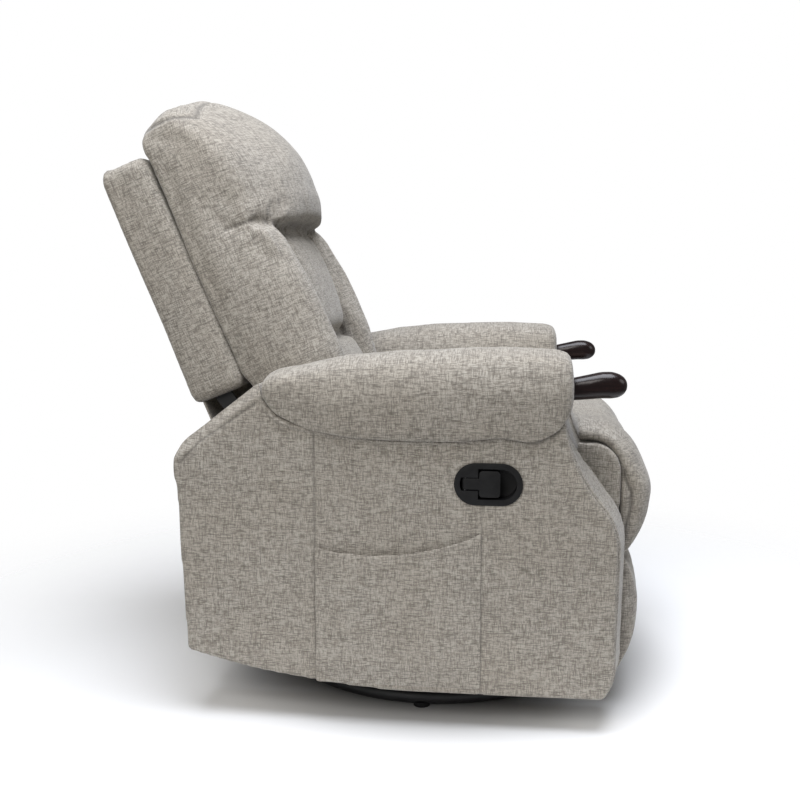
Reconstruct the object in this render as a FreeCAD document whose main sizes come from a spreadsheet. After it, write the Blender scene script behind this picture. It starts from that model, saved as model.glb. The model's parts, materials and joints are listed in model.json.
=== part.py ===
"""Swivel rocker recliner: padded chair on a turning ring base, with a rocking shaft and a folding footrest.

Millimetres. The origin is on the floor under the swivel post, +Z is up, the chair faces -Y and the
sitter's left hand is at +X.
"""
import FreeCAD
import Part
import Sketcher
import math
import os
import re

Vector = FreeCAD.Vector

SIZES = {
    # main widths, each half of the whole, and cloth gaps
    "arm_inner": 262,
    "arm_outer": 370,
    "pad_outer": 395,
    "cushion_half": 251,
    "soft_gap": 2,
    "seam_gap": 0.4,
    "cloth_wall": 12,
    # ring base and swivel
    "ring_radius": 300,
    "ring_tube": 25,
    "glide_height": 8,
    "glide_lift": 3,
    "glide_radius": 14,
    "spoke_width": 36,
    "spoke_thick": 6,
    "swivel_radius": 110,
    "swivel_plate": 4,
    "ball_radius": 4,
    "ball_circle": 85,
    "ball_play": 0.1,
    "post_radius": 12,
    "post_head": 6,
    "run_fit": 0.05,
    # rocker
    "shaft_height": 112,
    "shaft_radius": 8,
    "ear_half_width": 24,
    "cradle_half": 95,
    "ear_gap": 2,
    "ear_thick": 5,
    "deck_height": 150,
    "deck_thick": 4,
    "deck_half_width": 130,
    "deck_half_depth": 105,
    "spring_radius": 17,
    "spring_bore": 12,
    "spring_side": 45,
    "spring_reach": 78,
    # steel chassis
    "steel": 4,
    "cleat_thick": 18,
    "cleat_length": 90,
    "cleat_reach": 130,
    "flange_width": 21,
    "rail_drop": 50,
    "rail_front": 200,
    "rail_rear": 240,
    "tube_size": 25,
    "tube_front": 70,
    "tube_rear": 80,
    "bolt_radius": 4,
    # arms
    "frame_thick": 20,
    "frame_border": 45,
    "frame_foot": 68,
    "frame_head": 105,
    "top_board_thick": 26,
    "top_board_half": 25,
    "arm_centre": 315,
    "knuckle_lift": 66,
    "knuckle_height": 42,
    "knuckle_width": 38,
    "knuckle_tip": 324,
    "knuckle_tail": 150,
    "arm_front": 315,
    "arm_rear": 390,
    "arm_base": 57,
    "toe_round": 20,
    "toe_rise": 57,
    "heel_rise": 56,
    "sweep_rise": 19,
    "scoop_inset": 31,
    "scoop_drop": 90,
    "scoop_end": 165,
    "rear_edge_drop": 76,
    "rear_corner": 19,
    "slope_rise": 91,
    "arm_under_pad": 465,
    "arm_pad_tall": 148,
    "arm_pad_front": 238,
    "arm_pad_rear": 258,
    "pad_lap": 8,
    # side pocket
    "pocket_front": 101,
    "pocket_rear": 165,
    "pocket_top": 288,
    "pocket_rise": 38,
    "pocket_depth": 10,
    "pocket_cloth": 3,
    "pocket_hem": 8,
    # release handle
    "handle_ahead": 110.5,
    "handle_drop": 60.5,
    "bezel_length": 107,
    "bezel_tall": 67,
    "bezel_rim": 6,
    "bezel_proud": 3,
    "bezel_depth": 26,
    "bezel_wall": 3,
    "lever_thick": 10,
    "lever_arm": 22,
    "lever_arm_tall": 18,
    "paddle_length": 33,
    "paddle_tall": 42,
    "lever_pin_radius": 2,
    "lever_pin_half": 20.5,
    "lever_eye": 5,
    "lever_slot": 1.5,
    # seat
    "seat_plate_base": 215,
    "seat_plate_front": 215,
    "seat_plate_rear": 218,
    "runner_length": 60,
    "runner_front": 90,
    "runner_rear": 130,
    "runner_play": 0.3,
    "torque_radius": 11,
    "torque_ahead": 120,
    "torque_height": 285,
    "seat_rail_thick": 20,
    "seat_rail_base": 318,
    "seat_deck": 344,
    "seat_rear": 170,
    "web_thick": 3,
    "web_width": 50,
    "seat_front": 326,
    "roll_start": 253,
    "roll_under": 451,
    "roll_thick": 46,
    "roll_crown": 11,
    "roll_nose_drop": 82,
    "roll_bottom": 258,
    "seat_top": 474,
    "seat_crown": 14,
    # back
    "back_tilt": 22,
    "back_foot_rear": 353,
    "back_foot_lift": 48,
    "hinge_rear": 200,
    "hinge_height": 330,
    "hinge_radius": 6,
    "hinge_eye": 16,
    "bracket_hold": 110,
    "slab_height": 417,
    "slab_low_half": 48,
    "slab_top_half": 38,
    "slab_round": 15,
    "slab_corner": 12,
    "post_wide": 45,
    "post_deep": 30,
    "back_rail_tall": 60,
    "head_low": 232,
    "head_top": 517,
    "head_side_drop": 50,
    "head_front": 237,
    "head_side_front": 165,
    "head_nose_rise": 56,
    "head_lip": 40,
    "head_side_lip": 20,
    "bolster_inner": 136,
    "bolster_front": 208,
    "bolster_rear_corner": 8,
    "cushion_low": 116,
    "lumbar_split": 22,
    "lumbar_front": 191,
    "skirt_drop": 60,
    "skirt_inset": 16,
    # footrest
    "fascia_lift": 10,
    "fascia_clear": 3,
    "leg_pivot_ahead": 200,
    "leg_pivot_height": 300,
    "link_length": 200,
    "lower_link_deg": -76,
    "upper_link_deg": 131.3,
    "bar_thick": 5,
    "bar_half_width": 12,
    "lane_gap": 1,
    "pin_radius": 4,
    "board_thick": 12,
    "board_back": 310,
    "board_low": 70,
    "board_high": 245,
    "footrest_low": 57,
    "footrest_high": 256,
    "footrest_front": 355,
    "footrest_crown": 8,
    "footrest_brow": 17,
    "footrest_full": 68,
    "footrest_edge": 6,
    # rear of the body
    "rear_rail_back": 375,
    "rear_rail_thick": 18,
    "rear_rail_low": 125,
    "rear_rail_high": 268,
    "valance_thick": 12,
}

doc = FreeCAD.newDocument("recliner")
sheet = doc.addObject("Spreadsheet::Sheet", "Sizes")
for row, (alias, value) in enumerate(SIZES.items(), 1):
    sheet.set(f"A{row}", alias)
    sheet.set(f"B{row}", str(value))
    sheet.setAlias(f"B{row}", alias)
doc.recompute()

NODES = []


def size(alias):
    """A driving dimension, read back from the sheet."""
    return float(sheet.get(alias))


def on_sheet(formula):
    """The formula with each driving dimension pointed at the sheet."""
    return re.sub(r"[a-z_]{3,}", lambda word: f"Sizes.{word[0]}" if word[0] in SIZES else word[0], formula)


def bind(thing, formulas):
    for prop, formula in formulas.items():
        thing.setExpression(prop, on_sheet(formula))
    return thing


def node(label, thing):
    """Marks an object as one of the chair's named pieces."""
    thing.Label = label
    NODES.append(thing)
    return thing


def box(x, y, z):
    """Block between low and high formulas on each axis."""
    block = doc.addObject("Part::Box", "block")
    spans = {"Length": x, "Width": y, "Height": z}
    for prop, (low, high) in spans.items():
        bind(block, {prop: f"({high}) - ({low})"})
    bind(block, {"Placement.Base.x": x[0], "Placement.Base.y": y[0], "Placement.Base.z": z[0]})
    return block


def rod(axis, centre, radius, low, high):
    """Cylinder along X, Y or Z; centre holds the formulas of the other two axes, in order."""
    bar = doc.addObject("Part::Cylinder", "rod")
    turns = {
        "X": FreeCAD.Rotation(Vector(0, 1, 0), 90),
        "Y": FreeCAD.Rotation(Vector(1, 0, 0), -90),
        "Z": FreeCAD.Rotation(),
    }
    bar.Placement = FreeCAD.Placement(Vector(), turns[axis])
    others = [name for name in "xyz" if name != axis.lower()]
    bind(bar, {"Radius": radius, "Height": f"({high}) - ({low})"})
    bind(bar, {f"Placement.Base.{axis.lower()}": low})
    bind(bar, {f"Placement.Base.{name}": formula for name, formula in zip(others, centre)})
    return bar


def fuse(*parts):
    joined = doc.addObject("Part::MultiFuse", "joined")
    joined.Shapes = list(parts)
    joined.Refine = True
    return joined


def group(*parts):
    """Separate solids kept side by side."""
    bundle = doc.addObject("Part::Compound", "bundle")
    bundle.Links = list(parts)
    return bundle


def cut(base, *tools):
    trimmed = doc.addObject("Part::Cut", "trimmed")
    trimmed.Base = base
    trimmed.Tool = tools[0] if len(tools) == 1 else group(*tools)
    return trimmed


def common(base, tool):
    kept = doc.addObject("Part::Common", "kept")
    kept.Base = base
    kept.Tool = tool
    return kept


def mirror(part):
    """The same piece on the other side of the chair."""
    twin = doc.addObject("Part::Mirroring", "twin")
    twin.Source = part
    twin.Normal = Vector(1, 0, 0)
    return twin


def pair(part):
    """Left and right copies of one piece."""
    return group(part, mirror(part))


def shaped(shape):
    """A form that only Part's own functions make."""
    feature = doc.addObject("Part::Feature", "form")
    feature.Shape = shape
    return feature


# outlines and soft forms


def side_view(x):
    """Maps (towards the front, up) to the chair's side plane at x."""
    return lambda point: Vector(x, -point[0], point[1])


def cross_view(y):
    """Maps (across, up) to the upright plane at y."""
    return lambda point: Vector(point[0], y, point[1])


def back_side(x):
    """Maps (forward of the back, up the back) to the leaning back's own side plane."""
    return lambda point: Vector(x, -point[0], point[1])


def back_slice(height):
    """Maps (across, forward of the back) to a slice across the leaning back."""
    return lambda point: Vector(point[0], -point[1], height)


def trace(start, steps, view):
    """Closed wire: each step is a point for a line, or (via, end) for an arc."""
    edges = []
    here = start
    for step in steps:
        curved = isinstance(step[0], tuple)
        end = step[1] if curved else step
        if curved:
            edges.append(Part.Arc(view(here), view(step[0]), view(end)).toShape())
        else:
            edges.append(Part.LineSegment(view(here), view(end)).toShape())
        here = end
    if math.dist(here, start) > 1e-6:
        edges.append(Part.LineSegment(view(here), view(start)).toShape())
    return Part.Wire(edges)


def soft_outline(u, v, corner, swell=(0, 0, 0, 0), low_corner=None):
    """Rounded rectangle whose bottom, right, top and left sides swell; its bottom corners may differ."""
    (u0, u1), (v0, v1) = u, v
    corner = min(corner, 0.48 * (u1 - u0), 0.48 * (v1 - v0))
    low = min(corner, low_corner or corner)
    turn, low_turn = corner * (1 - math.sqrt(0.5)), low * (1 - math.sqrt(0.5))

    def side(a, b, outward, amount):
        middle = tuple((p + q) / 2 + amount * d for p, q, d in zip(a, b, outward))
        return (middle, b) if amount else b

    corners = [(u0 + low, v0), (u1 - low, v0), (u1, v0 + low), (u1, v1 - corner),
               (u1 - corner, v1), (u0 + corner, v1), (u0, v1 - corner), (u0, v0 + low)]
    bends = [(u1 - low_turn, v0 + low_turn), (u1 - turn, v1 - turn), (u0 + turn, v1 - turn),
             (u0 + low_turn, v0 + low_turn)]
    outwards = [(0, -1), (1, 0), (0, 1), (-1, 0)]
    steps = []
    for index in range(4):
        first = corners[2 * index]
        last = corners[2 * index + 1]
        following = corners[(2 * index + 2) % 8]
        steps.append(side(first, last, outwards[index], swell[index]))
        steps.append((bends[index], following))
    return corners[0], steps


def loft(wires, ruled=True):
    """Closed solid through the sections, straight or smooth between them."""
    return Part.makeLoft(wires, True, ruled)


def slab_between(start, steps, low, high):
    """Flat outline in the side plane, given thickness across the chair."""
    face = Part.Face(trace(start, steps, side_view(low)))
    return face.extrude(Vector(high - low, 0, 0))


def on_back(feature):
    """Leans a piece that is modelled in the back's own frame."""
    feature.Placement = FreeCAD.Placement(Vector(), FreeCAD.Rotation(Vector(1, 0, 0), -size("back_tilt")))
    return bind(feature, {
        "Placement.Base.y": "back_foot_rear",
        "Placement.Base.z": "seat_top + back_foot_lift",
        "Placement.Rotation.Angle": "-back_tilt",
    })


# heights that stack up from the floor, and lanes that stack in from the arms

RING_Z = "(glide_lift + ring_tube / 2)"
SPOKE_TOP = f"({RING_Z} + spoke_thick / 2)"
LOWER_TOP = f"({SPOKE_TOP} + swivel_plate)"
UPPER_BASE = f"({LOWER_TOP} + 2 * ball_radius + 2 * ball_play)"
UPPER_TOP = f"({UPPER_BASE} + swivel_plate)"
DECK_TOP = "(deck_height + deck_thick)"
RAIL_TOP = f"({DECK_TOP} + rail_drop)"
BOLT_Z = f"({DECK_TOP} + rail_drop / 2)"

RAIL_OUT = "(arm_inner - cleat_thick)"
RAIL_IN = f"({RAIL_OUT} - steel)"
PLATE_IN = f"({RAIL_IN} - flange_width)"
PLATE_OUT = f"({PLATE_IN} + steel)"
LOWER_OUT = f"({PLATE_IN} - 2 * lane_gap)"
LOWER_IN = f"({LOWER_OUT} - bar_thick)"
UPPER_OUT = f"({LOWER_IN} - lane_gap)"
UPPER_IN = f"({UPPER_OUT} - bar_thick)"
BRACKET_OUT = f"({UPPER_IN} - lane_gap)"
BRACKET_IN = f"({BRACKET_OUT} - bar_thick)"
BACK_IN = f"({PLATE_OUT} + 3 * lane_gap)"
BACK_OUT = f"({BACK_IN} + bar_thick)"
FRAME_IN = "(arm_inner + cloth_wall)"
FRAME_OUT = f"({FRAME_IN} + frame_thick)"
KNUCKLE_BASE = "(arm_under_pad + knuckle_lift)"
HANDLE_Z = "(arm_under_pad - handle_drop)"

KNEE_Y = "(-leg_pivot_ahead + link_length * cos(lower_link_deg * 1 deg))"
KNEE_Z = "(leg_pivot_height + link_length * sin(lower_link_deg * 1 deg))"
ANKLE_Y = f"({KNEE_Y} + link_length * cos(upper_link_deg * 1 deg))"
ANKLE_Z = f"({KNEE_Z} + link_length * sin(upper_link_deg * 1 deg))"

# ring base


def torus(radius, tube, z):
    ring = doc.addObject("Part::Torus", "ring")
    return bind(ring, {"Radius1": radius, "Radius2": tube, "Placement.Base.z": z})


def around(count, radius, make):
    """Copies of a piece at even turns about the swivel axis."""
    turns = [360 * index / count for index in range(count)]
    return group(*[make(f"({radius}) * cos({turn} deg)", f"({radius}) * sin({turn} deg)") for turn in turns])


RING_MIDDLE = "(ring_radius - ring_tube / 2)"
base_ring = node("base_ring", torus(RING_MIDDLE, "ring_tube / 2", RING_Z))
spoke_z = (f"{RING_Z} - spoke_thick / 2", SPOKE_TOP)
spoke_long = (f"-{RING_MIDDLE}", RING_MIDDLE)
spoke_wide = ("-spoke_width / 2", "spoke_width / 2")
cross = fuse(box(spoke_long, spoke_wide, spoke_z), box(spoke_wide, spoke_long, spoke_z))
node("base_spokes", cut(cross, base_ring))
glides = around(6, RING_MIDDLE, lambda x, y: rod("Z", (x, y), "glide_radius", "0", "glide_height"))
node("floor_glides", cut(glides, base_ring))
node("swivel_lower_plate", rod("Z", ("0", "0"), "swivel_radius", SPOKE_TOP, LOWER_TOP))
post_neck = rod("Z", ("0", "0"), "post_radius", LOWER_TOP, f"{UPPER_TOP} + 3 * ball_play")
post_cap = rod("Z", ("0", "0"), "post_radius + post_head",
               f"{UPPER_TOP} + 3 * ball_play", f"{UPPER_TOP} + post_head")
node("swivel_post", fuse(post_neck, post_cap))


def ball(x, y):
    sphere = doc.addObject("Part::Sphere", "ball")
    height = f"{LOWER_TOP} + ball_play + ball_radius"
    places = {"Placement.Base.x": x, "Placement.Base.y": y, "Placement.Base.z": height}
    return bind(sphere, {"Radius": "ball_radius", **places})


node("bearing_balls", around(12, "ball_circle", ball))

# turntable with the rocking shaft

turning_plate = rod("Z", ("0", "0"), "swivel_radius", UPPER_BASE, UPPER_TOP)
post_bore = rod("Z", ("0", "0"), "post_radius + run_fit", UPPER_BASE, UPPER_TOP)
node("swivel_upper_plate", cut(turning_plate, post_bore))


def rocker_ear(x, z):
    """Upright plate, rounded about the shaft, reaching to height z on its other end."""
    low, high = ("shaft_height", z) if z == "deck_height" else (z, "shaft_height")
    plate = box(x, ("-ear_half_width", "ear_half_width"), (low, high))
    return fuse(plate, rod("X", ("0", "shaft_height"), "ear_half_width", *x))


CRADLE_IN = "(cradle_half - ear_thick)"
YOKE_OUT = f"({CRADLE_IN} - ear_gap)"
YOKE_IN = f"({YOKE_OUT} - ear_thick)"
SHAFT_END = "(cradle_half + ear_thick)"
shaft = node("rocker_shaft", rod("X", ("0", "shaft_height"), "shaft_radius", f"-{SHAFT_END}", SHAFT_END))
node("rocker_cradle", pair(cut(rocker_ear((CRADLE_IN, "cradle_half"), UPPER_TOP), shaft)))


def rocker_spring(x, y):
    ends = (UPPER_TOP, "deck_height - 3 * ball_play")
    return cut(rod("Z", (x, y), "spring_radius", *ends), rod("Z", (x, y), "spring_bore", *ends))


corners = [(f"{a} * spring_side", f"{b} * spring_reach") for a in (-1, 1) for b in (-1, 1)]
node("rocker_springs", group(*[rocker_spring(x, y) for x, y in corners]))

# rocking chassis

deck = box(("-deck_half_width", "deck_half_width"), ("-deck_half_depth", "deck_half_depth"),
           ("deck_height", DECK_TOP))
hanger = rocker_ear((YOKE_IN, YOKE_OUT), "deck_height")
shaft_bore = rod("X", ("0", "shaft_height"), "shaft_radius + run_fit", f"-{SHAFT_END}", SHAFT_END)
node("rocker_yoke", cut(fuse(deck, hanger, mirror(hanger)), shaft_bore))

bolt_span = (f"{RAIL_IN} - 2 * bolt_radius", FRAME_OUT)
arm_bolt = [rod("X", (f"{way} * cleat_reach", BOLT_Z), "bolt_radius", *bolt_span) for way in (-1, 1)]
bolts = node("arm_bolts", pair(group(*arm_bolt)))
rail_length = ("-rail_front", "rail_rear")
rail_web = box((RAIL_IN, RAIL_OUT), rail_length, (DECK_TOP, RAIL_TOP))
rail_flange = box((PLATE_IN, RAIL_IN), rail_length, (f"{RAIL_TOP} - steel", RAIL_TOP))
node("mechanism_rails", cut(pair(fuse(rail_web, rail_flange)), bolts))


def cross_tube(y):
    """Square steel tube from rail to rail."""
    half = "tube_size / 2"
    wall = f"({half} - steel / 2)"
    middle = f"({DECK_TOP} + {half})"
    span = (f"-{RAIL_IN}", RAIL_IN)
    outside = box(span, (f"{y} - {half}", f"{y} + {half}"), (DECK_TOP, f"{DECK_TOP} + tube_size"))
    inside = box(span, (f"{y} - {wall}", f"{y} + {wall}"), (f"{middle} - {wall}", f"{middle} + {wall}"))
    return cut(outside, inside)


node("cross_tubes", group(cross_tube("-tube_front"), cross_tube("tube_rear")))
cleat_spans = [(f"{way} * cleat_reach - cleat_length / 2", f"{way} * cleat_reach + cleat_length / 2")
               for way in (-1, 1)]
cleats = [box((RAIL_OUT, "arm_inner"), span, (DECK_TOP, RAIL_TOP)) for span in cleat_spans]
node("arm_cleats", cut(pair(group(*cleats)), bolts))

# arms


def arm_outline():
    """Side view of an arm under its pad: rocker-shaped foot, scooped front and sloping rear."""
    front, rear, base, under = (size(name) for name in ("arm_front", "arm_rear", "arm_base", "arm_under_pad"))
    pad_front, pad_rear = size("arm_pad_front"), size("arm_pad_rear")
    lap, inset = size("pad_lap"), size("scoop_inset")
    edge, corner = size("rear_edge_drop"), size("rear_corner")
    heel, sweep = size("heel_rise"), size("sweep_rise")
    slope, brow = size("slope_rise"), size("scoop_drop")
    toe = (front - size("toe_round"), base)
    return toe, [
        (0, base),
        ((-0.54 * rear, base + sweep), (lap - rear, base + heel)),
        (-rear - 3, under - edge),
        ((2 - rear, under - 0.16 * edge), (corner - rear, under + 0.26 * corner)),
        (-pad_rear, under + slope),
        ((2 * lap - pad_rear, under + 0.5 * slope + lap), (7 * lap - pad_rear, under + 0.24 * slope + lap)),
        ((0.04 * pad_front, under + lap), (pad_front - 11, under + inset + lap)),
        ((pad_front + 9, under - 0.32 * brow), (front - inset, under - brow)),
        ((front - lap, under - 1.41 * brow), (front, under - size("scoop_end"))),
        (front - 3, base + size("toe_rise")),
        ((front - lap, base + sweep), toe),
    ]


def arm_pad_form():
    """Rolled arm pad on the sitter's left, swollen along its length and tucked in at both ends."""
    inner, outer = size("arm_inner") - 2 * size("soft_gap"), size("pad_outer")
    under, top = size("arm_under_pad"), size("arm_under_pad") + size("arm_pad_tall")
    front, rear = size("arm_pad_front"), size("arm_pad_rear")
    # station along the chair, lift of the underside, drop of the top, tuck of both sides, corner radius
    stations = [
        (-front, 62, 24, 26, 22),
        (-front + 3, 50, 14, 15, 32),
        (-front + 10, 38, 5, 7, 42),
        (-front + 22, 30, 0, 2, 48),
        (-front + 48, 21, -2, 0, 52),
        (-front + 98, 12, -3, 0, 52),
        (-0.28 * front, 4, -1, 0, 52),
        (0.1 * rear, 3, 3, 0, 52),
        (0.43 * rear, 10, 11, 0, 48),
        (0.65 * rear, 19, 22, 2, 42),
        (0.8 * rear, 31, 33, 5, 34),
        (rear - 26, 50, 42, 10, 22),
        (rear - 9, 70, 52, 20, 10),
    ]
    wires = []
    for y, lift, drop, tuck, corner in stations:
        across, tall = (inner + tuck, outer - tuck), (under + lift, top - drop)
        wires.append(trace(*soft_outline(across, tall, corner, (0, 3, 5, 2)), cross_view(y)))
    return loft(wires)


def knuckle_form():
    """Polished wooden grip: a tail inside the pad and a thumb-shaped nose in front of it."""
    middle, base = size("arm_centre"), size("arm_under_pad") + size("knuckle_lift")
    wide, tall, tip = size("knuckle_width"), size("knuckle_height"), size("knuckle_tip")
    # station towards the front, share of the width, rise of the underside, share of the height
    stations = [
        (size("knuckle_tail"), 0.7, 0, 0.68),
        (size("arm_pad_front"), 0.82, 0, 0.84),
        (tip - 60, 0.92, 2, 0.93),
        (tip - 40, 0.98, 4, 0.99),
        (tip - 24, 1.0, 4, 1.0),
        (tip - 13, 0.93, 6, 0.88),
        (tip - 5, 0.7, 11, 0.64),
        (tip, 0.36, 19, 0.26),
    ]
    wires = []
    for ahead, share, rise, height in stations:
        half = wide * share / 2
        low = base + rise
        corner = 0.42 * min(2 * half, tall * height)
        start, steps = soft_outline((middle - half, middle + half), (low, low + tall * height), corner)
        wires.append(trace(start, steps, cross_view(-ahead)))
    return loft(wires)


def arm_strip(shift, y_range):
    """Cloth strip between the two panels: what a shifted copy of the arm leaves uncovered."""
    low, high = size("arm_inner") + size("cloth_wall"), size("arm_outer") - size("cloth_wall")
    body = slab_between(*arm_outline(), low, high)
    left_over = body.cut(body.translated(shift))
    near, far = y_range
    tall = size("arm_under_pad") + size("arm_pad_tall")
    window = Part.makeBox(high - low, far - near, tall, Vector(low, near, 0))
    return left_over.common(window)


wall = size("cloth_wall")
pad_form = shaped(arm_pad_form())
knuckle = node("arm_knuckle_left", shaped(knuckle_form()))
node("arm_knuckle_right", mirror(knuckle))
top_board = box(("arm_centre - top_board_half", "arm_centre + top_board_half"),
                ("-arm_pad_front + top_board_half", "0.72 * arm_pad_rear"),
                (f"{KNUCKLE_BASE} - top_board_thick", KNUCKLE_BASE))
node("arm_top_boards", pair(top_board))
arm_pad = node("arm_pad_left", cut(pad_form, top_board, knuckle))
node("arm_pad_right", mirror(arm_pad))

outer_form = shaped(slab_between(*arm_outline(), size("arm_outer") - wall, size("arm_outer")))
outer_panel = node("outer_arm_panel_left", cut(outer_form, pad_form))
inner_form = shaped(slab_between(*arm_outline(), size("arm_inner"), size("arm_inner") + wall))
node("inner_arm_panels", cut(pair(cut(inner_form, pad_form)), bolts))
front_reach = (-size("arm_front") - wall, -size("arm_pad_front") + 2 * wall)
rear_reach = (size("arm_pad_rear") - wall, size("arm_rear") + wall)
front_form = shaped(arm_strip(Vector(0, wall, 0), front_reach))
node("arm_front_strips", pair(cut(front_form, pad_form, knuckle, top_board)))
rear_form = shaped(arm_strip(Vector(0, -wall, -wall), rear_reach))
node("arm_rear_strips", pair(cut(rear_form, pad_form)))

frame_y = ("-arm_front + frame_border", "arm_rear - frame_border + steel")
frame_z = ("arm_base + frame_foot", "arm_under_pad - frame_head")
frame_board = box((FRAME_IN, FRAME_OUT), frame_y, frame_z)
frame_window = box((FRAME_IN, FRAME_OUT), (f"{frame_y[0]} + frame_border", f"{frame_y[1]} - frame_border"),
                   (f"{BOLT_Z} + frame_border", f"{frame_z[1]} - frame_border"))
node("arm_frames", cut(pair(cut(frame_board, frame_window)), bolts))

rail_y = ("rear_rail_back - rear_rail_thick", "rear_rail_back")
node("rear_rail", box(("-arm_inner", "arm_inner"), rail_y, ("rear_rail_low", "rear_rail_high")))
valance_x = "(arm_inner - soft_gap)"
node("rear_valance", box((f"-{valance_x}", valance_x), ("rear_rail_back", "rear_rail_back + valance_thick"),
                         ("rear_rail_low - 5", "rear_rail_high + 5")))

# side pocket on the sitter's right


def pocket_form():
    """Stitched pouch with a sagging top edge, open at the top."""
    front, rear, top = size("pocket_front"), -size("pocket_rear"), size("pocket_top")
    rise, hem, base = size("pocket_rise"), size("pocket_hem"), size("arm_base") + 13
    skin, depth = -size("arm_outer"), size("pocket_depth")
    sag = (0.35 * rear, top)
    outline = [(front, top + rise), (sag, (rear, top + 8)), (rear, base)]
    pouch = slab_between((front, base), outline, skin, skin - depth)
    inside = [(front - hem, top + 2 * rise), (rear + hem, top + 2 * rise), (rear + hem, base + hem)]
    hollow = slab_between((front - hem, base + hem), inside, skin, skin - depth + size("pocket_cloth"))
    return pouch.cut(hollow)


node("side_pocket", shaped(pocket_form()))

# release handle on the sitter's right


def obround(length, tall, x):
    """Round-ended block along the chair, centred on the handle."""
    half = f"({length} - {tall}) / 2"
    middle = ("-handle_ahead", HANDLE_Z)
    block = box(x, (f"{middle[0]} - {half}", f"{middle[0]} + {half}"),
                (f"{middle[1]} - ({tall}) / 2", f"{middle[1]} + ({tall}) / 2"))
    ends = [rod("X", (f"{middle[0]} + {way} * {half}", middle[1]), f"({tall}) / 2", *x) for way in (-1, 1)]
    return fuse(block, *ends)


CUP_LONG = "(bezel_length - 2 * bezel_rim)"
CUP_TALL = "(bezel_tall - 2 * bezel_rim)"
CUP_FLOOR = "(-arm_outer + bezel_depth)"
FACE = "(-arm_outer - bezel_proud)"
cup = obround(CUP_LONG, CUP_TALL, ("-arm_outer", CUP_FLOOR))
rim = obround("bezel_length", "bezel_tall", (FACE, "-arm_outer"))
hollow = obround(f"({CUP_LONG} - 2 * bezel_wall)", f"({CUP_TALL} - 2 * bezel_wall)",
                 (FACE, f"{CUP_FLOOR} - bezel_wall"))

LEVER_OUT = "(-arm_outer - bezel_proud / 2)"
LEVER_IN = f"({LEVER_OUT} + lever_thick)"
PIN_X = f"({LEVER_OUT} + lever_eye)"
CUP_REAR = f"(-handle_ahead + {CUP_LONG} / 2 - bezel_wall)"
PIN_Y = f"({CUP_REAR} - lever_eye - bezel_wall)"
lever_pin = node("lever_pin", rod("Z", (PIN_X, PIN_Y), "lever_pin_radius",
                                  f"{HANDLE_Z} - lever_pin_half", f"{HANDLE_Z} + lever_pin_half"))
# face plates above and below the lever's arm, which leave it a slot
plate_span = (f"{PIN_Y} - lever_arm + lever_slot", CUP_REAR)
SLOT_HALF = "(lever_arm_tall / 2 + lever_slot)"
plate_skin = (FACE, f"{FACE} + bezel_wall")
above_slot = (f"{HANDLE_Z} + {SLOT_HALF}", f"{HANDLE_Z} + bezel_tall / 2")
below_slot = (f"{HANDLE_Z} - bezel_tall / 2", f"{HANDLE_Z} - {SLOT_HALF}")
cup_shell = cut(fuse(cup, rim), hollow)
face_plates = [common(hollow, box(plate_skin, plate_span, tall)) for tall in (above_slot, below_slot)]
node("handle_bezel", cut(fuse(cup_shell, *face_plates), lever_pin))
arm_tall = (f"{HANDLE_Z} - lever_arm_tall / 2", f"{HANDLE_Z} + lever_arm_tall / 2")
lever_arm = box((LEVER_OUT, LEVER_IN), (f"{PIN_Y} - lever_arm", PIN_Y), arm_tall)
lever_eye = rod("Z", (PIN_X, PIN_Y), "lever_eye", *arm_tall)
paddle = box((LEVER_OUT, LEVER_IN), (f"{PIN_Y} - lever_arm - paddle_length", f"{PIN_Y} - lever_arm"),
             (f"{HANDLE_Z} - paddle_tall / 2", f"{HANDLE_Z} + paddle_tall / 2"))
eye_bore = rod("Z", (PIN_X, PIN_Y), "lever_pin_radius + run_fit", *arm_tall)
node("release_lever", cut(fuse(lever_arm, lever_eye, paddle), eye_bore))
panel_hole = obround(f"({CUP_LONG} + 2 * run_fit)", f"({CUP_TALL} + 2 * run_fit)",
                     ("-arm_outer", "-arm_outer + cloth_wall"))
node("outer_arm_panel_right", cut(mirror(outer_panel), panel_hole))

# seat that glides on the rails

LEG = ("-leg_pivot_ahead", "leg_pivot_height")
HINGE = ("hinge_rear", "hinge_height")
leg_pin = rod("X", LEG, "pin_radius", f"{LOWER_IN} - lane_gap / 2", PLATE_OUT)
hinge_pin = rod("X", HINGE, "hinge_radius", PLATE_IN, f"{BACK_OUT} + lane_gap")
pivots = node("seat_pivot_pins", pair(group(leg_pin, hinge_pin)))
RAIL_HIGH = "(seat_deck - web_thick)"
seat_plate = box((PLATE_IN, PLATE_OUT), ("-seat_plate_front", "seat_plate_rear"),
                 ("seat_plate_base", RAIL_HIGH))
node("seat_plates", cut(pair(seat_plate), pivots))
node("torque_tube", rod("X", ("-torque_ahead", "torque_height"), "torque_radius", f"-{PLATE_IN}", PLATE_IN))
runner_z = (f"{RAIL_TOP} + runner_play", "seat_plate_base")
runner_x = (PLATE_IN, f"{RAIL_IN} - lane_gap")
runner_spans = [(f"{y} - runner_length / 2", f"{y} + runner_length / 2")
                for y in ("-runner_front", "runner_rear")]
node("seat_runners", pair(group(*[box(runner_x, span, runner_z) for span in runner_spans])))

RAIL_FACE = f"({PLATE_OUT} + seat_rail_thick)"
rail_z = ("seat_rail_base", RAIL_HIGH)
side_rail = box((PLATE_OUT, RAIL_FACE),
                ("-seat_front + seat_rail_thick", "seat_rear - seat_rail_thick"), rail_z)
rear_cross = box((f"-{PLATE_IN}", PLATE_IN), ("seat_rear - seat_rail_thick", "seat_rear"), rail_z)
node("seat_rails", group(side_rail, mirror(side_rail), rear_cross))
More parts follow.
